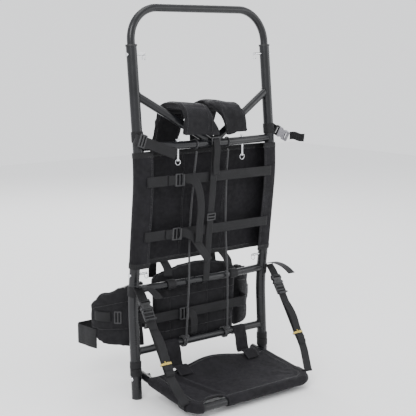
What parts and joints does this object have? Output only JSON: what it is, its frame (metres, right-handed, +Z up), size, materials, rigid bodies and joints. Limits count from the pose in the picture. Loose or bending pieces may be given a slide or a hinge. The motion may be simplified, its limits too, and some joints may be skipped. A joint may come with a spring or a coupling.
{
  "type": "cargo pack frame",
  "caption": "External tubular pack frame with a fold-down cargo shelf, a telescoping top hoop, a cloth back panel, shoulder pads and a padded hip belt.",
  "frame": {"origin": "on the ground, at the middle of the whole pack frame's box", "axes": "+Z up, +Y towards the wearer's back, -Y towards the load and the shelf, +X to the right seen from the load side"},
  "size_m": [0.5016, 0.4237, 0.9499],
  "materials": {
    "tube": "satin black powder coat",
    "hardware": "bright plated",
    "buckle": "moulded black acetal",
    "grey_buckle": "moulded grey acetal",
    "plug": "black end plug",
    "webbing": "woven black nylon webbing",
    "panel_cloth": "woven black nylon pack cloth",
    "pad_cloth": "padded black nylon",
    "cord": "braided black cord",
    "tie": "yellow elastic tie"
  },
  "bodies": {
    "frame": {"upright_left": "tube", "upright_right": "tube", "yoke_bar": "tube", "yoke_brace_left": "tube", "yoke_brace_right": "tube", "lumbar_bar": "tube", "lower_bar": "tube", "foot_plugs": "plug", "extension_bushes": "plug", "hinge_bolts": "hardware", "hinge_collars": "plug", "back_panel": "panel_cloth", "panel_straps": "webbing", "centre_strap": "webbing", "centre_glides": "buckle", "stay_cord_left": "cord", "stay_cord_right": "cord", "shoulder_pad_left": "pad_cloth", "shoulder_pad_right": "pad_cloth", "shoulder_webs": "webbing", "shoulder_locks": "buckle", "lumbar_pad": "pad_cloth", "hip_wing_left": "pad_cloth", "hip_wing_right": "pad_cloth", "hip_bands": "webbing", "waist_web_left": "webbing", "waist_web_right": "webbing", "waist_socket": "buckle", "load_strap_left": "webbing", "load_strap_right": "webbing", "load_plug": "buckle", "shelf_tabs": "panel_cloth", "shelf_strap_left": "webbing", "shelf_strap_right": "webbing", "shelf_buckles": "buckle", "strap_ties": "tie"},
    "extension": {"extension_tube": "tube", "extension_plugs": "plug"},
    "shelf": {"shelf_tube": "tube", "shelf_plugs": "plug", "shelf_cover": "panel_cloth"},
    "load_socket": {"load_socket": "grey_buckle", "load_tail": "webbing"},
    "waist_plug": {"waist_plug": "buckle"},
    "panel_lock_upper": {"panel_lock_upper": "buckle"},
    "panel_lock_lower": {"panel_lock_lower": "buckle"},
    "lumbar_lock": {"lumbar_lock": "buckle"},
    "upper_pin_left": {"upper_pin_left": "hardware"},
    "upper_ring_left": {"upper_ring_left": "hardware"},
    "upper_pin_right": {"upper_pin_right": "hardware"},
    "upper_ring_right": {"upper_ring_right": "hardware"},
    "lower_pin_left": {"lower_pin_left": "hardware"},
    "lower_ring_left": {"lower_ring_left": "hardware"},
    "lower_pin_right": {"lower_pin_right": "hardware"},
    "lower_ring_right": {"lower_ring_right": "hardware"},
    "yoke_pin_left": {"yoke_pin_left": "hardware"},
    "yoke_ring_left": {"yoke_ring_left": "hardware"},
    "yoke_pin_right": {"yoke_pin_right": "hardware"},
    "yoke_ring_right": {"yoke_ring_right": "hardware"}
  },
  "joints": [
    {"name": "extension_slide", "type": "slide", "parent": "frame", "child": "extension", "axis": [0, 0.0976, 0.9952], "range_m": [0, 0.14]},
    {"name": "shelf_fold", "type": "hinge", "parent": "frame", "child": "shelf", "pos_m": [0, 0.00271, 0.05], "axis": [-1, 0, 0], "range_deg": [0, 80], "deforming": ["shelf_strap_left", "shelf_strap_right", "shelf_tabs"]},
    {"name": "upper_pin_left_turn", "type": "hinge", "parent": "frame", "child": "upper_pin_left", "pos_m": [-0.204, 0.00435, 0.832], "axis": [1, 0, 0], "range_deg": [-90, 90]},
    {"name": "upper_ring_left_swing", "type": "hinge", "parent": "upper_pin_left", "child": "upper_ring_left", "pos_m": [-0.1705, 0.00435, 0.832], "axis": [0, 1, 0], "range_deg": [-60, 60]},
    {"name": "lower_pin_left_turn", "type": "hinge", "parent": "frame", "child": "lower_pin_left", "pos_m": [-0.204, 0.00486, 0.309], "axis": [1, 0, 0], "range_deg": [-90, 90]},
    {"name": "lower_ring_left_swing", "type": "hinge", "parent": "lower_pin_left", "child": "lower_ring_left", "pos_m": [-0.1705, 0.00486, 0.309], "axis": [0, 1, 0], "range_deg": [-60, 60]},
    {"name": "yoke_pin_left_turn", "type": "hinge", "parent": "frame", "child": "yoke_pin_left", "pos_m": [-0.1, -0.03186, 0.618], "axis": [0, 0, 1], "range_deg": [-90, 90]},
    {"name": "yoke_ring_left_swing", "type": "hinge", "parent": "yoke_pin_left", "child": "yoke_ring_left", "pos_m": [-0.1, -0.03186, 0.5835], "axis": [1, 0, 0], "range_deg": [-60, 60]},
    {"name": "upper_pin_right_turn", "type": "hinge", "parent": "frame", "child": "upper_pin_right", "pos_m": [0.204, 0.00435, 0.832], "axis": [1, 0, 0], "range_deg": [-90, 90]},
    {"name": "upper_ring_right_swing", "type": "hinge", "parent": "upper_pin_right", "child": "upper_ring_right", "pos_m": [0.1705, 0.00435, 0.832], "axis": [0, 1, 0], "range_deg": [-60, 60]},
    {"name": "lower_pin_right_turn", "type": "hinge", "parent": "frame", "child": "lower_pin_right", "pos_m": [0.204, 0.00486, 0.309], "axis": [1, 0, 0], "range_deg": [-90, 90]},
    {"name": "lower_ring_right_swing", "type": "hinge", "parent": "lower_pin_right", "child": "lower_ring_right", "pos_m": [0.1705, 0.00486, 0.309], "axis": [0, 1, 0], "range_deg": [-60, 60]},
    {"name": "yoke_pin_right_turn", "type": "hinge", "parent": "frame", "child": "yoke_pin_right", "pos_m": [0.1, -0.03186, 0.618], "axis": [0, 0, 1], "range_deg": [-90, 90]},
    {"name": "yoke_ring_right_swing", "type": "hinge", "parent": "yoke_pin_right", "child": "yoke_ring_right", "pos_m": [0.1, -0.03186, 0.5835], "axis": [1, 0, 0], "range_deg": [-60, 60]},
    {"name": "load_release", "type": "slide", "parent": "frame", "child": "load_socket", "axis": [0.2497, -0.8532, -0.4578], "range_m": [0, 0.025]},
    {"name": "waist_release", "type": "slide", "parent": "frame", "child": "waist_plug", "axis": [1, 0, 0], "range_m": [0, 0.03]},
    {"name": "panel_lock_upper_tilt", "type": "hinge", "parent": "frame", "child": "panel_lock_upper", "pos_m": [-0.114, -0.03757, 0.53524], "axis": [0, 0.0425, -0.9991], "range_deg": [0, 25]},
    {"name": "panel_lock_lower_tilt", "type": "hinge", "parent": "frame", "child": "panel_lock_lower", "pos_m": [-0.114, -0.0237, 0.40198], "axis": [0, 0.1132, -0.9936], "range_deg": [0, 25]},
    {"name": "lumbar_lock_tilt", "type": "hinge", "parent": "frame", "child": "lumbar_lock", "pos_m": [-0.069, 0.0082, 0.188], "axis": [0, 0, -1], "range_deg": [0, 25]}
  ]
}
